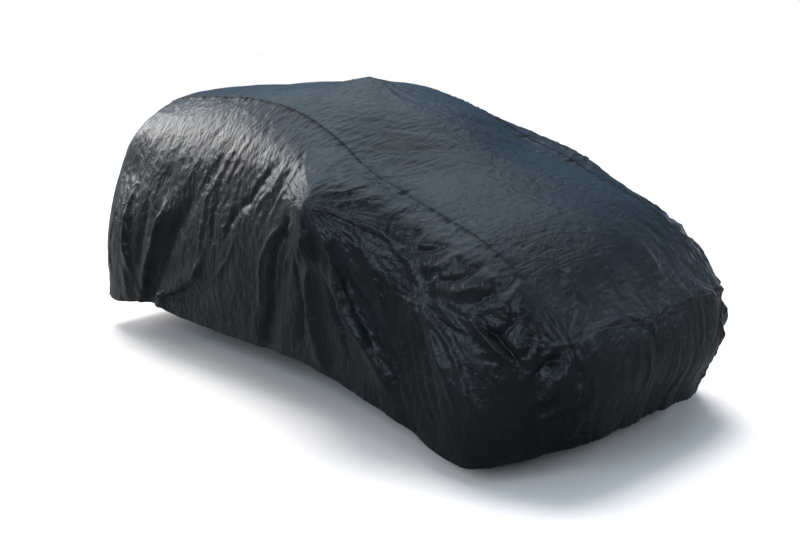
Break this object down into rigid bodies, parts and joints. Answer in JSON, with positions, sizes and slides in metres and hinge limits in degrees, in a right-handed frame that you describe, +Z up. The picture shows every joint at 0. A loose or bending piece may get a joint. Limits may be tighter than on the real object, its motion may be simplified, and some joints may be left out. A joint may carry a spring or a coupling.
{
  "type": "fitted car cover",
  "caption": "Hollow fitted cover of thin coated cloth that drapes over a small hatchback, drawn up over its door mirrors and aerial and open underneath.",
  "frame": {"origin": "middle of the cover's box at the height of its lowest hem", "axes": "+Z up, the nose of the car points to -Y, +X is the car's left-hand side"},
  "size_m": [2.0196, 3.8508, 1.5601],
  "materials": {
    "coated_nylon": "thin black coated nylon with a soft sheen, finely crinkled"
  },
  "bodies": {
    "root": {"centre_panel": "coated_nylon", "left_side_panel": "coated_nylon", "right_side_panel": "coated_nylon"}
  },
  "joints": []
}
